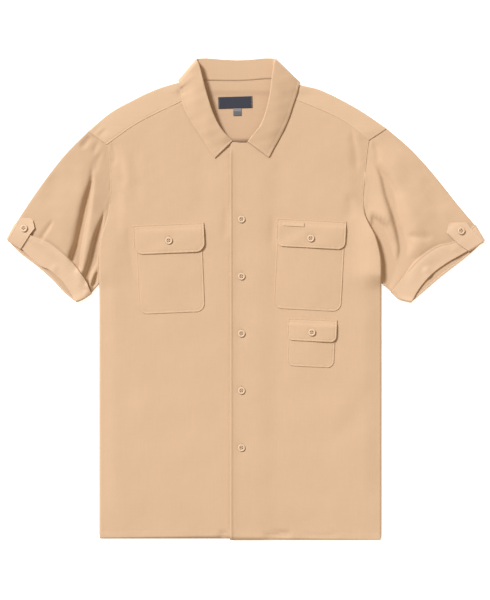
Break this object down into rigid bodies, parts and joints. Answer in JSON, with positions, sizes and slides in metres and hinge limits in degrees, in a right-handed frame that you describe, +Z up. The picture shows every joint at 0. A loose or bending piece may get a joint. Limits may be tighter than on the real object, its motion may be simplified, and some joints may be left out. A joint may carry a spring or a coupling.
{
  "type": "short-sleeve shirt",
  "caption": "Short-sleeve buttoned shirt laid flat, with a camp collar, chest pockets with buttoned flaps, a small pocket and turned-up cuffs held by tabs.",
  "frame": {"origin": "on the underside of the back panel, where the shirt rests on the table, in the middle of the body's width and about halfway between collar and hem", "axes": "+X across the shirt to the wearer's left, +Y towards the collar, +Z up from the table"},
  "size_m": [0.7938, 0.7994, 0.013],
  "materials": {
    "cloth": "plain woven cotton, matt",
    "label": "dark woven tape",
    "size_loop": "grey woven tape",
    "button": "satin"
  },
  "bodies": {
    "root": {"back": "cloth", "yoke": "cloth", "front_right": "cloth", "front_left": "cloth", "collar": "cloth", "pocket_right": "cloth", "pocket_left": "cloth", "pocket_small": "cloth", "flap_right": "cloth", "flap_left": "cloth", "flap_small": "cloth", "flap_strip": "cloth", "neck_label": "label", "size_loop": "size_loop", "sleeve_right": "cloth", "sleeve_left": "cloth", "cuff_right": "cloth", "cuff_left": "cloth", "tab_right": "cloth", "tab_left": "cloth", "button_front_1": "button", "button_front_2": "button", "button_front_3": "button", "button_front_4": "button", "button_front_5": "button", "button_pocket_right": "button", "button_pocket_left": "button", "button_pocket_small": "button", "button_tab_right": "button", "button_tab_left": "button"}
  },
  "joints": []
}
